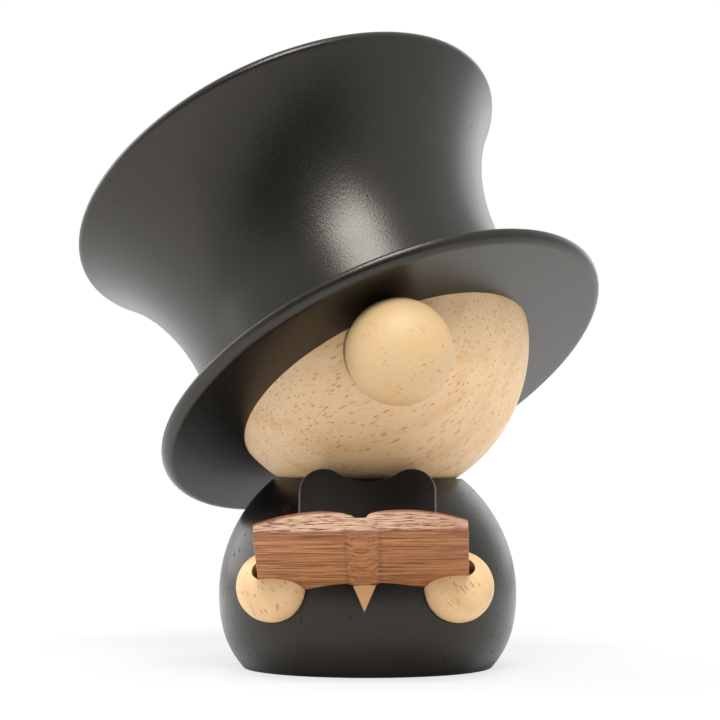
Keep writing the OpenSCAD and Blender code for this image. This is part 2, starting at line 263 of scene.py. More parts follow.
class Places:
    """Frames of the pieces, worked out from the sizes."""

    def __init__(self, s):
        quarter = math.pi / 2
        ball = shift(0, 0, s.body_rise)
        self.head = shift(0, 0, s.head_z) @ turn("Z", s.hat_bearing) @ turn("Y", s.hat_lean)
        self.nose = self.head @ turn("Z", s.nose_bearing) @ turn("Y", quarter + s.nose_dip)
        self.hat = self.head @ shift(0, 0, -s.brim_drop)
        self.tie = ball @ turn("X", quarter - s.tie_lean) @ shift(s.tie_side, s.tie_up, s.tie_back)
        self.shirt = ball @ turn("X", quarter - s.shirt_lean)
        hand_y = -s.hand_out * math.cos(s.hand_rise) * math.cos(s.hand_turn)
        hand_z = s.body_rise + s.hand_out * math.sin(s.hand_rise)
        lean_cos, lean_sin = math.cos(s.book_lean), math.sin(s.book_lean)
        face = hand_y * lean_cos + hand_z * lean_sin - s.book_grip
        foot = hand_z * lean_cos - hand_y * lean_sin - s.book_drop
        level = turn("X", s.book_lean) @ shift(0, face, foot)
        roll = turn("Y", s.book_roll) @ shift(0, 0, -hand_z)
        self.book = shift(s.book_side, 0, hand_z) @ roll @ level
        self.hands = {
            side: ball @ turn("Z", side * s.hand_turn) @ turn("X", quarter - s.hand_rise)
            for side in (-1, 1)
        }


def ring_radius(ball, large, out):
    """Radius of the circle where a ball is let into a larger ball."""
    x = (out * out + ball * ball - large * large) / (2 * out)
    return math.sqrt(ball * ball - max(x, 0) ** 2)


def arc_radius(half, rise):
    """Radius of the arc that rises so far over a half width."""
    return (half * half + rise * rise) / (2 * rise)


# Mesh work

def arc(centre, radius, start, end, steps):
    """Points of an arc from one angle to another, in degrees."""
    points = []
    for i in range(steps + 1):
        a = math.radians(start + (end - start) * i / steps)
        points.append((centre[0] + radius * math.cos(a), centre[1] + radius * math.sin(a)))
    return points


def without_doubles(points):
    kept = []
    for p in points:
        if not kept or math.dist(p, kept[-1]) > SAME:
            kept.append(p)
    if math.dist(kept[0], kept[-1]) <= SAME:
        kept.pop()
    return kept


def lathe(name, profile, place, steps):
    """Turns a half section, listed from axis to axis, into a closed mesh."""
    work = bmesh.new()
    rings = []
    for r, z in profile:
        if r < SAME:
            rings.append([work.verts.new((0, 0, z))])
            continue
        ring = []
        for i in range(steps):
            a = 2 * math.pi * i / steps
            ring.append(work.verts.new((r * math.cos(a), r * math.sin(a), z)))
        rings.append(ring)
    for low, high in zip(rings, rings[1:]):
        for i in range(steps):
            j = (i + 1) % steps
            corners = [low[k % len(low)] for k in (i, j)] + [high[k % len(high)] for k in (j, i)]
            face = list(dict.fromkeys(corners))
            if len(face) > 2:
                work.faces.new(face)
    return as_object(name, work, place)


def prism(name, outline, low, high, place):
    """Extrudes an outline between two heights."""
    work = bmesh.new()
    outline = without_doubles(outline)
    floor = [work.verts.new((x, y, low)) for x, y in outline]
    roof = [work.verts.new((x, y, high)) for x, y in outline]
    work.faces.new(floor[::-1])
    work.faces.new(roof)
    for i in range(len(outline)):
        j = (i + 1) % len(outline)
        work.faces.new((floor[i], floor[j], roof[j], roof[i]))
    return as_object(name, work, place)


def rod(name, radius, low, high, place):
    last = ROUND["hole"] - 1
    return prism(name, arc((0, 0), radius, 0, 360 * last / (last + 1), last), low, high, place)


def as_object(name, work, place):
    """Makes an object of the mesh, with its place in its vertices."""
    bmesh.ops.recalc_face_normals(work, faces=work.faces)
    mesh = bpy.data.meshes.new(name)
    work.to_mesh(mesh)
    work.free()
    mesh.transform(place)
    piece = bpy.data.objects.new(name, mesh)
    bpy.context.scene.collection.objects.link(piece)
    return piece


def apply_modifiers(piece):
    """Makes the modifiers' result the piece's own mesh, without slivers."""
    mesh = bpy.data.meshes.new_from_object(
        piece.evaluated_get(bpy.context.evaluated_depsgraph_get())
    )
    piece.modifiers.clear()
    work = bmesh.new()
    work.from_mesh(mesh)
    bmesh.ops.remove_doubles(work, verts=work.verts, dist=WELD)
    many = [face for face in work.faces if len(face.verts) > 4]
    bmesh.ops.triangulate(work, faces=many, ngon_method="BEAUTY")
    bmesh.ops.dissolve_degenerate(work, edges=work.edges, dist=WELD)
    work.to_mesh(mesh)
    work.free()
    old = piece.data
    piece.data = mesh
    mesh.name = piece.name
    bpy.data.meshes.remove(old)


def carve(piece, cutters, operation="DIFFERENCE"):
    """Cuts the piece with each cutter and removes the cutters."""
    for cutter in cutters:
        modifier = piece.modifiers.new("carve", "BOOLEAN")
        modifier.object = cutter
        modifier.operation = operation
        modifier.solver = "EXACT"
    apply_modifiers(piece)
    for cutter in cutters:
        bpy.data.objects.remove(cutter)


def ease_edges(piece, width, steps):
    """Rounds the edges of a piece that was sawn."""
    modifier = piece.modifiers.new("ease", "BEVEL")
    modifier.width = width
    modifier.segments = steps
    modifier.limit_method = "ANGLE"
    modifier.angle_limit = math.radians(EASED_EDGE)
    apply_modifiers(piece)


def finish_piece(piece, body, node, material):
    """Shades a piece, gives it its wood and hangs it on its body in place of its CAD node."""
    piece.data.shade_smooth()
    piece.data.set_sharp_from_angle(angle=math.radians(SHARP_EDGE))
    piece.data.materials.clear()
    piece.data.materials.append(material)
    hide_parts(node)
    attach(piece, body)


# Shader work

class Value:
    """A shader socket that takes part in sums."""

    def __init__(self, paint, socket):
        self.paint = paint
        self.socket = socket

    def _sum(self, operation, first, second):
        return self.paint.node("ShaderNodeMath", {"operation": operation}, {0: first, 1: second})

    def __add__(self, other):
        return self._sum("ADD", self, other)

    def __radd__(self, other):
        return self._sum("ADD", other, self)

    def __sub__(self, other):
        return self._sum("SUBTRACT", self, other)

    def __rsub__(self, other):
        return self._sum("SUBTRACT", other, self)

    def __mul__(self, other):
        return self._sum("MULTIPLY", self, other)

    def __rmul__(self, other):
        return self._sum("MULTIPLY", other, self)

    def other(self, name):
        """Another output of the same node."""
        return Value(self.paint, self.socket.node.outputs[name])


class Paint:
    """The nodes of a material or world under construction."""

    def __init__(self, owner):
        owner.use_nodes = True
        self.owner = owner
        self.tree = owner.node_tree
        self.tree.nodes.clear()

    def node(self, kind, settings=None, sockets=None, out=0):
        """Adds a node: its type, its settings, then the values or links of its sockets."""
        node = self.tree.nodes.new(kind)
        for key, value in (settings or {}).items():
            setattr(node, key, value)
        for key, value in (sockets or {}).items():
            socket = node.inputs[key]
            if isinstance(value, Value):
                self.tree.links.new(value.socket, socket)
            elif socket.type == "RGBA" and len(value) == 3:
                socket.default_value = (*value, 1)
            else:
                socket.default_value = value
        return Value(self, node.outputs[out]) if node.outputs else None

    def space(self, size, turned=(0, 0, 0), moved=(0, 0, 0)):
        """Object coordinates, turned to the grain, with cells of the given size in millimetres."""
        place = self.node("ShaderNodeTexCoord", out="Object")
        return self.node(
            "ShaderNodeMapping",
            {"vector_type": "TEXTURE"},
            {
                "Vector": place,
                "Location": [m * MM for m in moved],
                "Rotation": [math.radians(t) for t in turned],
                "Scale": [m * MM for m in size],
            },
        )

    def noise(self, vector, detail=2.0, rough=0.5, warp=0.0):
        return self.node(
            "ShaderNodeTexNoise",
            {"noise_dimensions": "3D"},
            {
                "Vector": vector,
                "Scale": 1.0,
                "Detail": detail,
                "Roughness": rough,
                "Distortion": warp,
            },
        )

    def cells(self, vector):
        return self.node(
            "ShaderNodeTexVoronoi", {"feature": "F1"}, {"Vector": vector, "Scale": 1.0}
        )

    def step(self, value, low, high, top=1.0):
        """Smooth step from 0 at low to top at high."""
        return self.node(
            "ShaderNodeMapRange",
            {"interpolation_type": "SMOOTHSTEP"},
            {"Value": value, "From Min": low, "From Max": high, "To Min": 0.0, "To Max": top},
        )

    def mix(self, factor, first, second):
        return self.node(
            "ShaderNodeMix",
            {"data_type": "RGBA"},
            {"Factor": factor, 6: first, 7: second},
            out=2,
        )

    def along(self, way):
        """How far the point lies along a way, in object coordinates."""
        place = self.node("ShaderNodeTexCoord", out="Object")
        return self.dot(place, way)

    def facing(self, way):
        """How far the surface faces a way: 1 straight towards it, 0 across it."""
        return self.dot(self.node("ShaderNodeNewGeometry", out="Normal"), way)

    def dot(self, vector, way):
        """Dot product of a vector and a fixed way."""
        return self.node(
            "ShaderNodeVectorMath",
            {"operation": "DOT_PRODUCT"},
            {0: vector, 1: list(way)},
            out="Value",
        )

    def size(self, value):
        """The value without its sign."""
        return self.node("ShaderNodeMath", {"operation": "ABSOLUTE"}, {0: value})

    def part(self, colour, name):
        """One channel of a colour."""
        return self.node("ShaderNodeSeparateColor", None, {"Color": colour}, out=name)

    def surface(self, colour, roughness, height, depth=0.1, specular=0.5, ior=1.5, tint=(1, 1, 1)):
        """Ends the material with a wood surface, whose bump depth is in millimetres."""
        normal = self.node(
            "ShaderNodeBump", None, {"Strength": 1.0, "Distance": depth * MM, "Height": height}
        )
        shader = self.node(
            "ShaderNodeBsdfPrincipled",
            None,
            {
                "Base Color": colour,
                "Roughness": roughness,
                "Normal": normal,
                "Specular IOR Level": specular,
                "Specular Tint": tint,
                "IOR": ior,
            },
        )
        self.node("ShaderNodeOutputMaterial", None, {"Surface": shader})
        return self.owner


def new_paint(name):
    return Paint(bpy.data.materials.new(name))


def dark_stain(name, colours, turned, pitted, ior):
    """Charcoal stain over open-grained wood, satin, with pits along the grain."""
    wood = new_paint(name)
    grain = wood.noise(wood.space((9, 0.4, 0.4), turned), 3.0, 0.6)
    cloud = wood.noise(wood.space((22, 14, 14), turned), 2.0)
    pebble = wood.noise(wood.space((1.1, 0.55, 0.55), turned), 2.0, 0.6)
    speck = wood.noise(wood.space((0.4, 0.25, 0.25), turned), 1.0)
    cell = wood.cells(wood.space((4.2, 1.1, 1.1), turned, (1, 2, 3)))
    chance = wood.part(cell.other("Color"), "Red")
    pits = wood.step(cell, 0.2, 0.1) * wood.step(chance, 1.0 - pitted, 1.04 - pitted)
    worn = wood.step(grain, 0.5, 0.75) * 0.45 + wood.step(cloud, 0.4, 0.7) * 0.35
    shade = wood.mix(worn, colours.stain, colours.stain_worn)
    shade = wood.mix(pits, shade, colours.pit)
    roughness = 0.25 + grain * 0.10 + pits * 0.4
    height = pebble * 0.3 + speck * 0.2 + grain * 0.2 - pits * 1.4
    return wood.surface(shade, roughness, height, depth=0.08, ior=ior, tint=colours.sheen)


def pale_wood(
    name, colours, pale, turned, flecked=0.5, streaked=0.0, moved=(0, 0, 0),
    fleck=(3.0, 0.8, 0.8), gloss=0.6, dark=0.0,
):
    """Light wood with short flecks along the grain and a few thin streaks."""
    wood = new_paint(name)
    band = wood.noise(wood.space((50, 5, 5), turned, moved), 2.0, 0.5, 0.3)
    fibre = wood.noise(wood.space((7, 0.3, 0.3), turned, moved), 3.0, 0.6)
    cloud = wood.noise(wood.space((16, 9, 9), turned, moved), 2.0)
    mottle = wood.noise(wood.space((1.7, 0.7, 0.7), turned, moved), 2.0, 0.65)
    cell = wood.cells(wood.space(fleck, turned, moved))
    tint = cell.other("Color")
    size = wood.part(tint, "Green")
    thick = wood.step(cloud, 0.38, 0.6, 0.6)
    chosen = wood.step(wood.part(tint, "Red") + thick, 1.25 - flecked, 1.3 - flecked)
    flecks = wood.step(0.23 + size * 0.11 - cell, -0.03, 0.07) * chosen
    line = wood.cells(wood.space((17, 1.1, 1.1), turned, (4, 1, 2)))
    pick = wood.step(wood.part(line.other("Color"), "Blue"), 1.0 - streaked, 1.03 - streaked)
    streaks = wood.step(line, 0.24, 0.08) * pick
    shade = wood.mix(wood.step(band, 0.42, 0.72) * 0.55, pale, colours.deep)
    shade = wood.mix(wood.step(fibre, 0.5, 0.75) * 0.3, shade, colours.deep)
    shade = wood.mix(wood.step(mottle, 0.45, 0.75) * 0.28, shade, colours.deep)
    spot = [a + (b - a) * dark for a, b in zip(colours.fleck, colours.streak)]
    shade = wood.mix(flecks * (0.3 + wood.part(tint, "Blue") * 0.6), shade, spot)
    shade = wood.mix(streaks * 0.5, shade, colours.streak)
    height = fibre * 0.25 - flecks * 0.5 - streaks * 0.4
    return wood.surface(shade, 0.5 + fibre * 0.12, height, depth=0.05, specular=gloss)


def book_wood(name, colours, turned, s, place):
    """Red-brown wood with long dark streaks, paler where it is sawn and rubbed along its edges; it
    also has painted shade in the creases by the spine and over one side of the sawn edge, and a
    painted highlight on its ends.
    """
    wood = new_paint(name)
    streak = wood.noise(wood.space((14, 0.28, 0.28), turned), 4.0, 0.65, 0.1)
    broad = wood.noise(wood.space((34, 1.4, 1.4), turned), 2.0)
    fine = wood.noise(wood.space((4, 0.14, 0.14), turned), 3.0, 0.6)
    pore = wood.noise(wood.space((3.4, 0.3, 0.3), turned, (3, 1, 2)), 3.0, 0.6)
    dark = wood.step(streak, 0.49, 0.58)
    cover = wood.mix(wood.step(broad, 0.4, 0.65), colours.cover, colours.cover_light)
    cover = wood.mix(wood.step(fine, 0.48, 0.7) * 0.5, cover, colours.cover_streak_and_shade)
    cover = wood.mix(dark * 0.8, cover, colours.cover_streak_and_shade)
    across = wood.along((1, 0, 0))
    off = wood.size(wood.size(across) - s.spine_w / 2)
    # Painted shade: a broken dark line in the creases where the spine meets the cover
    crease_w, crease_core = 0.7 * MM, 0.1 * MM
    crease_shade = wood.step(off, crease_w, crease_core) * wood.step(pore, 0.4, 0.6)
    cover = wood.mix(crease_shade * 0.6, cover, colours.cover_streak_and_shade)
    cut = wood.mix(wood.step(pore, 0.42, 0.6) * 0.7, colours.cut, colours.cut_grain_and_shade)
    cut = wood.mix(wood.step(fine, 0.5, 0.7) * 0.4, cut, colours.cut_grain_and_shade)
    # Painted shade: the sawn edge darkens towards +X over this reach
    painted_shade_reach = 16 * MM
    cut = wood.mix(wood.step(across, 0.0, painted_shade_reach) * 0.4, cut, colours.cut_grain_and_shade)
    holes = wood.step(pore, 0.57, 0.63)
    cut = wood.mix(holes * 0.85, cut, colours.cut_dark)
    axes = place.to_3x3()
    lift = wood.facing(axes @ Vector((0, 0, 1)))
    sawn = wood.step(lift, 0.88, 0.98)
    thick = axes @ Vector((0, 1, 0))
    level = wood.along(thick) - thick.dot(place.translation)
    beyond = wood.size(across) - s.page_crest
    slope = wood.node("ShaderNodeMath", {"operation": "MAXIMUM"}, {0: beyond, 1: 0.0})
    fall = (s.page_t - s.fore_t) / (s.book_w / 2 - s.page_crest) ** 2
    under = s.page_t - slope * slope * fall - level
    ragged = (pore - 0.5) * MM
    rub_w, rub_core = 0.75 * MM, 0.3 * MM
    skin = wood.step(under + ragged, rub_w, rub_core) + wood.step(level + ragged, rub_w, rub_core)
    edge = wood.step(lift, 0.05, 0.3) * wood.step(skin + 1 - sawn, 0.0, 1.0)
    # Ends facing X turn paler: partly sawn wood, partly a painted highlight of the side light
    lit_ends = wood.step(wood.size(wood.facing((1, 0, 0))), 0.2, 0.6)
    shade = wood.mix(lit_ends * 0.5, cover, colours.fore)
    shade = wood.mix(sawn, shade, cut)
    shade = wood.mix(edge * (0.6 + pore * 0.5), shade, colours.worn)
    height = fine * 0.3 - dark * 0.4 - holes * sawn * 0.7
    return wood.surface(shade, 0.5 + fine * 0.15, height, depth=0.1, specular=0.3)


def tie_wood(name, colours, turned, front):
    """Near-black wood with fine level grain and a painted highlight along its rounded edge."""
    wood = new_paint(name)
    grain = wood.noise(wood.space((11, 0.35, 0.35), turned), 3.0, 0.6)
    speck = wood.noise(wood.space((0.5, 0.4, 0.4), turned), 1.0)
    lift = wood.facing(front)
    # Painted highlight: the rounded edge band is lighter, more so towards the ends that face X
    edge = wood.step(lift, 0.96, 0.7) * wood.step(lift, 0.0, 0.4)
    lit_ends = wood.step(wood.size(wood.facing((1, 0, 0))), 0.25, 0.6)
    shade = wood.mix(wood.step(grain, 0.45, 0.75), colours.tie, colours.tie_grain)
    shade = wood.mix(edge * (0.2 + lit_ends * 0.65), shade, colours.tie_edge_highlight)
    height = grain * 0.5 + speck * 0.15
    return wood.surface(shade, 0.55 + grain * 0.15, height, depth=0.05, ior=1.28)


def dowel_wood(name, colours):
    """Plain upright-grained dowel wood."""
    wood = new_paint(name)
    grain = wood.noise(wood.space((0.4, 0.4, 8)), 3.0, 0.6)
    shade = wood.mix(wood.step(grain, 0.4, 0.7), colours.dowel, colours.dowel_grain)
    return wood.surface(shade, 0.6 + grain * 0.1, grain, depth=0.05, specular=0.3)


# Forms that more than one piece needs

def body_section(s):
    """Half section of the body from the middle of its base to the middle of its dish."""
    def edge(level, radius):
        x = math.sqrt((s.body_r - radius) ** 2 - (level - s.body_rise) ** 2)
        return (x, level), math.degrees(math.atan2(level - s.body_rise, x))

    foot, low = edge(s.base_edge_r, s.base_edge_r)
    rim, high = edge(s.rim_z - s.rim_edge_r, s.rim_edge_r)
    dish_r = s.head_r + s.dish_gap
    dish = math.degrees(math.asin((s.rim_z - s.head_z) / dish_r))
    points = arc(foot, s.base_edge_r, -90, low, 10)
    points += arc((0, s.body_rise), s.body_r, low, high, 72)[1:]
    drawn = [s.base_taper * max(1 - z / s.taper_h, 0) ** TAPER_CURVE for x, z in points]
    points = [(x - inward, z) for (x, z), inward in zip(points, drawn)]
    points = [(points[0][0] * i / 6, 0.0) for i in range(6)] + points
    points += arc(rim, s.rim_edge_r, high, 90, 8)[1:]
    points += arc((0, s.head_z), dish_r, dish, -90, 40)[:-1]
    return points + [(0.0, s.head_z - dish_r)]


def book_outline(s):
    """Section of the open book, cover below."""
    half, gutter = s.book_w / 2, s.gutter_w / 2
    outer = arc_radius(half - s.page_crest, s.page_t - s.fore_t)
    spine = arc_radius(s.spine_w / 2, s.spine_t)
    fore = math.degrees(math.acos((half - s.page_crest) / outer))
    sweep = math.degrees(math.asin(s.spine_w / 2 / spine))

    def shoulder(bend):
        """Fall of a page from its crest into the gutter, the squarer the greater the bend."""
        points = []
        for i in range(1, 17):
            a = math.pi / 2 * i / 16
            x = s.page_crest + (gutter - s.page_crest) * math.sin(a) ** (2 / bend)
            points.append((x, s.gutter_t + (s.page_t - s.gutter_t) * math.cos(a) ** (2 / bend)))
        return points

    right = [(half, 0.0)]
    right += arc((s.page_crest, s.page_t - outer), outer, fore, 90, 20)
    back = arc((0, spine - s.spine_t), spine, 270 - sweep, 270 + sweep, 12)
    left = [(-x, y) for x, y in reversed(right + shoulder(PAGE_BENDS[1]))]
    return right + shoulder(PAGE_BENDS[0]) + left + back


def book_pocket(s, place):
    """Cutter for the flat-sided pocket that holds the book."""
    half = s.book_w / 2 + s.glue_gap
    page_r = arc_radius(s.book_w / 2 - s.page_crest, s.page_t - s.fore_t)
    slope = math.asin((s.book_w / 2 - s.page_crest) / page_r) / 2
    shoulder = s.page_crest + page_r * math.tan(slope / 2)
    crest = s.page_t + s.glue_gap
    end = crest - (half - shoulder) * math.tan(slope)
    spine, deep = s.spine_w / 2 + s.glue_gap, -s.spine_t - s.glue_gap
    outline = [
        (-half, -s.glue_gap), (-spine, -s.glue_gap), (-spine, deep), (spine, deep),
        (spine, -s.glue_gap), (half, -s.glue_gap), (half, end), (shoulder, crest),
        (-shoulder, crest), (-half, end),
    ]
    return prism("book_pocket", outline, 0, s.book_h + MM, place)


def tie_outline(s, room=0.0):
    """Outline of the bow tie, all of arcs."""
    x, y = s.tie_w / 2 - s.tie_corner_r, s.tie_h / 2 - s.tie_corner_r
    dip = s.tie_waist / 2 - y
    waist = (x * x + dip * dip - s.tie_corner_r ** 2) / (2 * (s.tie_corner_r - dip))
    hollow = s.tie_waist / 2 + waist
    touch = math.degrees(math.atan2(hollow - y, x))
    corner = s.tie_corner_r + room
    quarter = [(x + corner, 0.0)]
    quarter += arc((x, y), corner, 0, 180 - touch, 20)
    quarter += arc((0, hollow), waist - room, -touch, -90, 14)[1:]
    upper = quarter + [(-px, py) for px, py in reversed(quarter[:-1])]
    return upper + [(px, -py) for px, py in reversed(upper[1:-1])]


def tie_seat(s, place):
    """Cutter for the flat that the tie is let into."""
    return prism("tie_seat", tie_outline(s, s.glue_gap), 0, s.tie_t + MM, place)


def shirt_wedge(s, place, room=0.0):
    """The shirt front before its face is turned with the body."""
    half = s.shirt_w / 2
    slant = math.hypot(half, s.shirt_h)
    top = s.shirt_h - s.shirt_tip + room
    tip = -s.shirt_tip - room * slant / half
    wide = (top - tip) * half / s.shirt_h
    deep = s.body_r - s.shirt_depth - room
    return prism("shirt_wedge", [(0, tip), (wide, top), (-wide, top)], deep, s.body_r + MM, place)


def hand_seats(s, places):
    """Cutters for the drilled seats of both hands."""
    floor = s.hand_out - s.hand_r + s.hand_flat
    ring = ring_radius(s.hand_r, s.body_r, s.hand_out) + s.seat_gap
    return [rod("hand_seat", ring, floor, floor + 2 * s.hand_r, places.hands[i]) for i in (-1, 1)]


def ball_section(radius, low):
    """Half section of a ball whose lower side is cut flat."""
    start = math.degrees(math.asin(low / radius))
    return [(0.0, low)] + arc((0, 0), radius, start, 90, 72)[:-1] + [(0.0, radius)]


# Operators, one for each piece or group of like pieces

class FigurinePiece:
    """What the operators share."""

    bl_options = {"REGISTER", "UNDO"}

    def execute(self, context):
        scene = context.scene
        self.build(scene.figurine_sizes, Places(scene.figurine_sizes), scene.figurine_colours)
        return {"FINISHED"}


class FIGURINE_OT_body(FigurinePiece, bpy.types.Operator):
    """Turns the body and cuts the seats of all that is let into it."""

    bl_idname = "figurine.body"
    bl_label = "Body"

    def build(self, s, places, colours):
        piece = lathe("body_turned", body_section(s), UPRIGHT, ROUND["body"])
        cutters = hand_seats(s, places)
        cutters.append(shirt_wedge(s, places.shirt, s.glue_gap))
        cutters.append(book_pocket(s, places.book))
        cutters.append(tie_seat(s, places.tie))
        bottom = s.head_z - s.head_r - s.neck_in_body
        cutters.append(rod("neck_bore", s.dowel_r + s.glue_gap, bottom, s.head_z, UPRIGHT))
        carve(piece, cutters)
        wood = dark_stain("body_stain", colours, (0, 90, 0), 0.55, 1.43)
        finish_piece(piece, "torso", "body", wood)


class FIGURINE_OT_shirt(FigurinePiece, bpy.types.Operator):
    """Fits the light wedge of the shirt front flush into the body."""

    bl_idname = "figurine.shirt"
    bl_label = "Shirt front"

    def build(self, s, places, colours):
        piece = shirt_wedge(s, places.shirt)
        piece.name = "shirt_inlay"
        carve(piece, [lathe("ball", body_section(s), UPRIGHT, ROUND["body"])], "INTERSECT")
        cutters = hand_seats(s, places)
        carve(piece, cutters + [book_pocket(s, places.book), tie_seat(s, places.tie)])
        wood = pale_wood("shirt_wood", colours, colours.shirt, (0, 80, 0), 0.3, 0.0, (5, 9, 2))
        finish_piece(piece, "torso", "shirt_front", wood)


class FIGURINE_OT_tie(FigurinePiece, bpy.types.Operator):
    """Saws the bow tie and rounds its edges."""

    bl_idname = "figurine.tie"
    bl_label = "Bow tie"

    def build(self, s, places, colours):
        piece = prism("bow_tie_plate", tie_outline(s), 0, s.tie_t, places.tie)
        ease_edges(piece, s.tie_edge_r, 4)
        front = places.tie.to_3x3() @ Vector((0, 0, 1))
        wood = tie_wood("tie_wood", colours, (0, 0, 2), front)
        finish_piece(piece, "torso", "bow_tie", wood)


class FIGURINE_OT_hands(FigurinePiece, bpy.types.Operator):
    """Turns the two hands and cuts the slots that hold the book."""

    bl_idname = "figurine.hands"
    bl_label = "Hands"

    def build(self, s, places, colours):
        for side, node, grain in ((1, "left_hand", (0, 50, 0)), (-1, "right_hand", (0, 53, 37))):
            ball = ball_section(s.hand_r, s.hand_flat - s.hand_r)
            place = places.hands[side] @ shift(0, 0, s.hand_out)
            piece = lathe(node + "_ball", ball, place, ROUND["hand"])
            end_r = s.slot_w / 2
            end_x = s.book_w / 2 + s.slot_end - end_r
            slot = [(0, 0), (end_x, 0)] + arc((end_x, end_r), end_r, -90, 90, 24) + [(0, s.slot_w)]
            # A little beside the pocket's faces, so that no two cuts share a plane
            slot = [(side * x, y - 1.5 * s.glue_gap) for x, y in slot]
            carve(piece, [
                prism("slot", slot, -s.glue_gap / 2, s.book_h, places.book),
                book_pocket(s, places.book),
            ])
            wood = pale_wood(
                node + "_wood", colours, colours.hand, grain, 0.2, 0.25, (side * 7, 3, 5),
                (4.2, 0.6, 0.6), dark=0.8,
            )
            finish_piece(piece, "torso", node, wood)


class FIGURINE_OT_book(FigurinePiece, bpy.types.Operator):
    """Shapes the open book and wears its edges."""

    bl_idname = "figurine.book"
    bl_label = "Book"

    def build(self, s, places, colours):
        piece = prism("book_block", book_outline(s), 0, s.book_h, UPRIGHT)
        for corner in piece.data.vertices:
            corner.co.x *= 1 - s.book_taper * corner.co.z / s.book_h / (s.book_w / 2)
        piece.data.transform(places.book)
        ease_edges(piece, s.book_edge_r, 3)
        wood = book_wood("book_wood", colours, (0, 0, 1), s, places.book)
        finish_piece(piece, "torso", "book", wood)


class FIGURINE_OT_head(FigurinePiece, bpy.types.Operator):
    """Turns the head and drills it for its nose and both dowels."""

    bl_idname = "figurine.head"
    bl_label = "Head"

    def build(self, s, places, colours):
        lower = arc((0, 0), s.head_r, -90, -math.degrees(math.asin(s.head_cut / s.head_r)), 96)
        profile = [(0.0, -s.head_r)] + lower[1:] + [(0.0, -s.head_cut)]
        piece = lathe("head_ball", profile, places.head, ROUND["head"])
        floor = s.nose_out - s.nose_r + s.nose_flat
        seat = ring_radius(s.nose_r, s.head_r, s.nose_out) + s.seat_gap + s.nose_slack
        low = s.head_z - s.head_r
        deep, bore = -s.head_cut - s.hat_in_head, s.dowel_r + s.glue_gap
        carve(piece, [
            rod("nose_seat", seat, floor, floor + 2 * s.nose_r, places.nose),
            rod("neck_bore", s.bore_r, low - MM, low + s.neck_in_head, UPRIGHT),
            rod("hat_bore", bore, deep, MM - s.head_cut, places.head),
        ])
        wood = pale_wood("head_wood", colours, colours.head, (0, -28, 0), 0.98, 0.26)
        finish_piece(piece, "head", "head", wood)


class FIGURINE_OT_nose(FigurinePiece, bpy.types.Operator):
    """Turns the ball-shaped nose."""

    bl_idname = "figurine.nose"
    bl_label = "Nose"

    def build(self, s, places, colours):
        ball = ball_section(s.nose_r, s.nose_flat - s.nose_r)
        place = places.nose @ shift(0, 0, s.nose_out)
        piece = lathe("nose_ball", ball, place, ROUND["nose"])
        wood = pale_wood(
            "nose_wood", colours, colours.nose, (0, -20, 40), 0.1, 0.0, (11, 4, 8),
            (1.9, 0.55, 0.55), 0.62, 0.5,
        )
        finish_piece(piece, "head", "nose", wood)


class FIGURINE_OT_hat(FigurinePiece, bpy.types.Operator):
    """Turns the hat with its flared crown, its brim, its recess and its bore."""

    bl_idname = "figurine.hat"
    bl_label = "Hat"

    def build(self, s, places, colours):
        bowl = s.head_r + s.recess_gap
        levels = [s.hat_seat + (-s.brim_droop - s.hat_seat) * i / 6 for i in range(7)]
        recess = [(math.sqrt(bowl ** 2 - (s.brim_drop - z) ** 2), z) for z in levels]
        hollow = (s.waist_r + s.flank_r, s.waist_rise)
        edge_z = s.hat_h - s.crown_edge_r
        reach = s.flank_r + s.crown_edge_r
        edge_x = hollow[0] - math.sqrt(reach ** 2 - (edge_z - hollow[1]) ** 2)
        meet = math.degrees(math.atan2(hollow[1] - edge_z, hollow[0] - edge_x))
        lip = s.crown_foot_r
        under = s.brim_r - s.brim_under_r
        brim = s.brim_r - s.brim_edge_r
        bore, deep = s.dowel_r + s.glue_gap, s.hat_seat + s.hat_in_hat
        points = [(0.0, deep), (bore, deep), (bore, s.hat_seat)] + recess
        mouth = recess[-1][0]
        points += [
            (mouth + (under - mouth) * i / 8, -s.brim_droop * (8 - i) / 8) for i in range(1, 8)
        ]
        points += arc((under, s.brim_under_r), s.brim_under_r, -90, 0, 16)
        points += arc((brim, s.brim_t - s.brim_edge_r), s.brim_edge_r, 0, 90, 8)
        points += [(brim + (s.waist_r + lip - brim) * i / 8, s.brim_t) for i in range(1, 8)]
        points += arc((s.waist_r + lip, s.brim_t + lip), lip, 270, 180, 4)
        points += [(s.waist_r, s.brim_t + (s.waist_rise - s.brim_t) * i / 8) for i in range(1, 8)]
        points += arc(hollow, s.flank_r, 180, 180 + meet, 64)
        points += arc((edge_x, edge_z), s.crown_edge_r, meet, 90, 16)[1:]
        points += [(edge_x * i / 8, s.hat_h) for i in range(7, -1, -1)]
        piece = lathe("hat_turned", points, places.hat, ROUND["hat"])
        wood = dark_stain("hat_stain", colours, (0, 62, 40), 0.04, 1.5)
        finish_piece(piece, "head", "hat", wood)


class FIGURINE_OT_dowels(FigurinePiece, bpy.types.Operator):
    """Gives the two hidden dowels their wood."""

    bl_idname = "figurine.dowels"
    bl_label = "Dowels"

    def build(self, s, places, colours):
        wood = dowel_wood("dowel_wood", colours)
        for node in ("neck_dowel", "hat_dowel"):
            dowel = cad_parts[node]
            dowel.data.materials.clear()
            dowel.data.materials.append(wood)


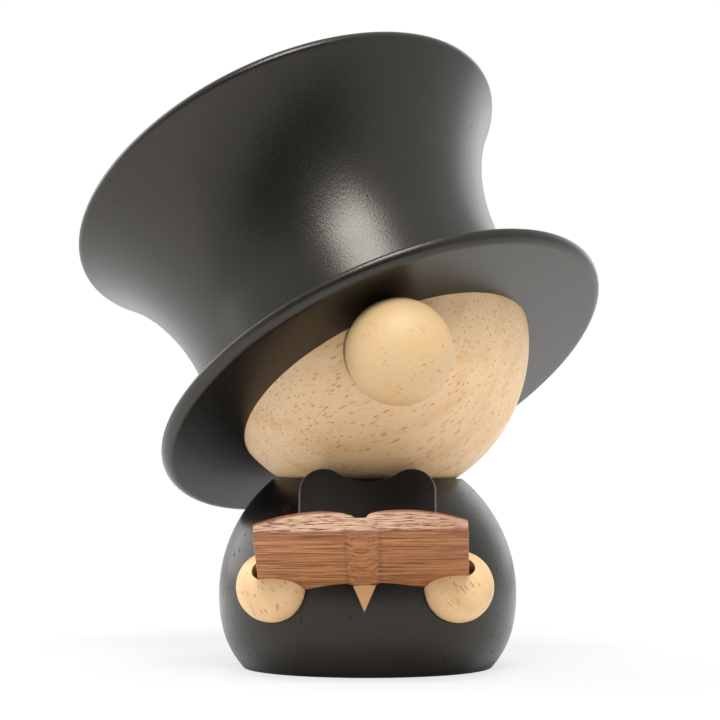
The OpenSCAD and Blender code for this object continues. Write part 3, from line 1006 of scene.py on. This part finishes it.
class FIGURINE_OT_stage(bpy.types.Operator):
    """Sets up the floor, the lamps and the camera."""

    bl_idname = "figurine.stage"
    bl_label = "Stage"
    bl_options = {"REGISTER", "UNDO"}

    def execute(self, context):
        scene, stage = context.scene, context.scene.figurine_stage
        scene.view_settings.view_transform = "Standard"
        self.floor(stage)
        self.sky(scene, stage)
        for name, setting, size, place in LAMPS:
            self.lamp(scene, name, getattr(stage, setting), size, place)
        self.camera(scene, stage)
        return {"FINISHED"}

    def camera(self, scene, stage):
        data = bpy.data.cameras.new("photo_camera")
        data.lens, data.sensor_width = stage.lens, 36
        data.clip_start = 0.01
        camera = bpy.data.objects.new("photo_camera", data)
        camera.location = stage.camera_place
        camera.rotation_euler = (math.pi / 2 + stage.camera_pitch, 0, stage.camera_turn)
        scene.collection.objects.link(camera)
        scene.camera = camera

    def floor(self, stage):
        """Pale floor that shows white to the camera but for a share of the shadow."""
        work = bmesh.new()
        bmesh.ops.create_circle(work, cap_ends=True, segments=96, radius=FLOOR_R)
        plane = as_object("floor", work, UPRIGHT)
        paint = new_paint("floor_paint")
        seen = paint.node("ShaderNodeLightPath", out="Is Camera Ray")
        mirrored = seen.other("Is Glossy Ray") + seen.other("Is Transmission Ray")
        place = paint.node("ShaderNodeTexCoord", out="Object")
        away = paint.node("ShaderNodeVectorMath", {"operation": "LENGTH"}, {0: place}, out="Value")
        far = paint.step(away, *SEEN_FADE)
        distant = paint.step(away, *MIRROR_FADE)
        white_share = 1 - (1 - far) * stage.shadow
        depth = paint.node("ShaderNodeSeparateXYZ", None, {"Vector": place}, out="Y")
        tone = paint.mix(paint.step(depth, *FRONT_FADE), stage.floor, stage.floor_front)
        tone = paint.mix(seen, tone, stage.floor_seen)
        matt = paint.node(
            "ShaderNodeBsdfPrincipled", None,
            {"Base Color": tone, "Roughness": 1.0, "Specular IOR Level": 0.0},
        )
        white = paint.node("ShaderNodeEmission", None, {"Color": (1, 1, 1), "Strength": 1.0})
        share = seen * white_share + mirrored * distant
        both = paint.node("ShaderNodeMixShader", None, {0: share, 1: matt, 2: white})
        paint.node("ShaderNodeOutputMaterial", None, {"Surface": both})
        plane.data.materials.append(paint.owner)

    def sky(self, scene, stage):
        """White all round, but for the dim room on the camera's side, out of its view."""
        scene.world = bpy.data.worlds.new("white_room")
        paint = Paint(scene.world)
        way = paint.node("ShaderNodeTexCoord", out="Generated")
        depth = paint.node("ShaderNodeSeparateXYZ", None, {"Vector": way}, out="Y")
        front = paint.step(depth, *ROOM_FADE)
        seen = paint.node("ShaderNodeLightPath", out="Is Camera Ray")
        white = paint.node("ShaderNodeBackground", None, {"Color": (1, 1, 1), "Strength": 1.0})
        dim = paint.node("ShaderNodeBackground", None, {"Color": (1, 1, 1), "Strength": stage.room})
        both = paint.node("ShaderNodeMixShader", None, {0: front * (1 - seen), 1: white, 2: dim})
        paint.node("ShaderNodeOutputWorld", None, {"Surface": both})

    def lamp(self, scene, name, watts, size, place):
        data = bpy.data.lights.new(name, "AREA")
        data.energy, data.shape = watts, "RECTANGLE"
        data.size, data.size_y = size
        lamp = bpy.data.objects.new(name, data)
        lamp.location = place
        aim = LAMP_AIM - lamp.location
        lamp.rotation_euler = aim.to_track_quat("-Z", "Y").to_euler()
        scene.collection.objects.link(lamp)


STEPS = ("body", "shirt", "tie", "hands", "book", "head", "nose", "hat", "dowels", "stage")


class FIGURINE_PT_sidebar(bpy.types.Panel):
    """Lists the pieces and the settings."""

    bl_idname = "FIGURINE_PT_sidebar"
    bl_label = "Wooden figurine"
    bl_space_type = "VIEW_3D"
    bl_region_type = "UI"
    bl_category = "Figurine"

    def draw(self, context):
        for step in STEPS:
            self.layout.operator("figurine." + step)
        for group in ("figurine_sizes", "figurine_colours", "figurine_stage"):
            box = self.layout.box()
            settings = getattr(context.scene, group)
            for name in settings.__annotations__:
                box.prop(settings, name)


CLASSES = (
    FigurineSizes, FigurineColours, FigurineStage,
    FIGURINE_OT_body, FIGURINE_OT_shirt, FIGURINE_OT_tie, FIGURINE_OT_hands, FIGURINE_OT_book,
    FIGURINE_OT_head, FIGURINE_OT_nose, FIGURINE_OT_hat, FIGURINE_OT_dowels, FIGURINE_OT_stage,
    FIGURINE_PT_sidebar,
)


def register():
    for kind in CLASSES:
        bpy.utils.register_class(kind)
    bpy.types.Scene.figurine_sizes = PointerProperty(type=FigurineSizes)
    bpy.types.Scene.figurine_colours = PointerProperty(type=FigurineColours)
    bpy.types.Scene.figurine_stage = PointerProperty(type=FigurineStage)


def unregister():
    del bpy.types.Scene.figurine_stage
    del bpy.types.Scene.figurine_colours
    del bpy.types.Scene.figurine_sizes
    for kind in reversed(CLASSES):
        bpy.utils.unregister_class(kind)


def main():
    register()
    for step in STEPS:
        getattr(bpy.ops.figurine, step)()


if __name__ == "__main__":
    main()
